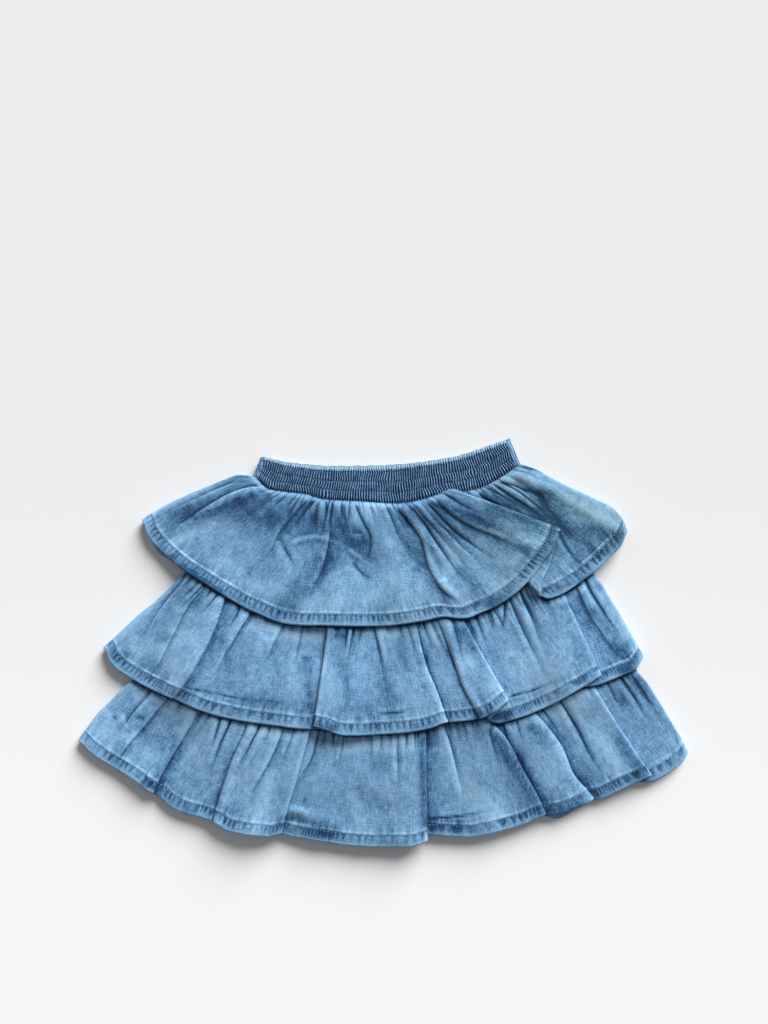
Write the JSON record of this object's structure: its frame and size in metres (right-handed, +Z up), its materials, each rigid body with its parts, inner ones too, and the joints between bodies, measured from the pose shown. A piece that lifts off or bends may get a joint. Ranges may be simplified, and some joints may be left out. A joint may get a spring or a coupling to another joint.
{
  "type": "skort",
  "caption": "Girl's skort lying flat, front up: shirred elastic waistband and gathered chambray tiers, each over the next, with turned hems.",
  "frame": {"origin": "on the surface that the garment lies on, under the middle of its bounding box", "axes": "+X across the garment (the wearer's left side), +Y towards the waist, +Z up off the surface; the garment lies front up"},
  "size_m": [0.4886, 0.3261, 0.0268],
  "materials": {
    "chambray": "light washed indigo chambray, plain weave with slubs, worn paler on hems and ridges, matt",
    "shirred_band": "the same chambray drawn up on rows of shirring elastic, darker between its small pleats, matt",
    "chambray_plain": "plain light chambray, hidden base skirt, matt",
    "jersey": "plain light blue cotton jersey, hidden inner shorts, matt"
  },
  "bodies": {
    "root": {"waistband_front": "shirred_band", "waistband_back": "shirred_band", "base_front": "chambray_plain", "base_back": "chambray_plain", "shorts_left": "jersey", "shorts_right": "jersey", "tier_1_front": "chambray", "tier_1_back": "chambray", "tier_2_front": "chambray", "tier_2_back": "chambray", "tier_3_front": "chambray", "tier_3_back": "chambray"}
  },
  "joints": []
}
